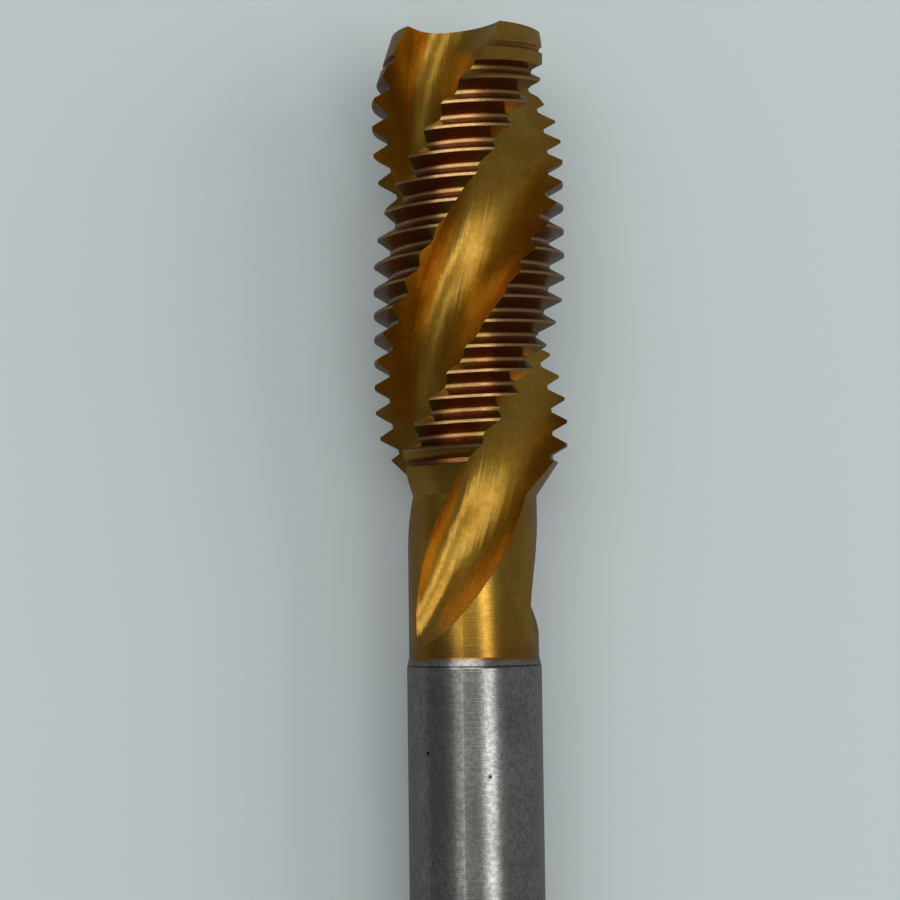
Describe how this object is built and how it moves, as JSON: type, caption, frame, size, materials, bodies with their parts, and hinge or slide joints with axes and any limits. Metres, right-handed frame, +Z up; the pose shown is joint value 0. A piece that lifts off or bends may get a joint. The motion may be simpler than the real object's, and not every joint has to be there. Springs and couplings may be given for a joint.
{
  "type": "thread tap",
  "caption": "Spiral-fluted machine thread tap: a plain round shank with a square drive end, a reduced neck and a tapered, fluted cutting thread.",
  "frame": {"origin": "on the surface the tap lies on, at the middle of its bounding box", "axes": "+Z up, +Y along the tap towards the cutting tip, +X to the right of it"},
  "size_m": [0.01, 0.0752, 0.0104],
  "materials": {
    "coated_steel": "ground, the thread end with a thin golden coating"
  },
  "bodies": {
    "root": {"tap": "coated_steel"}
  },
  "joints": []
}
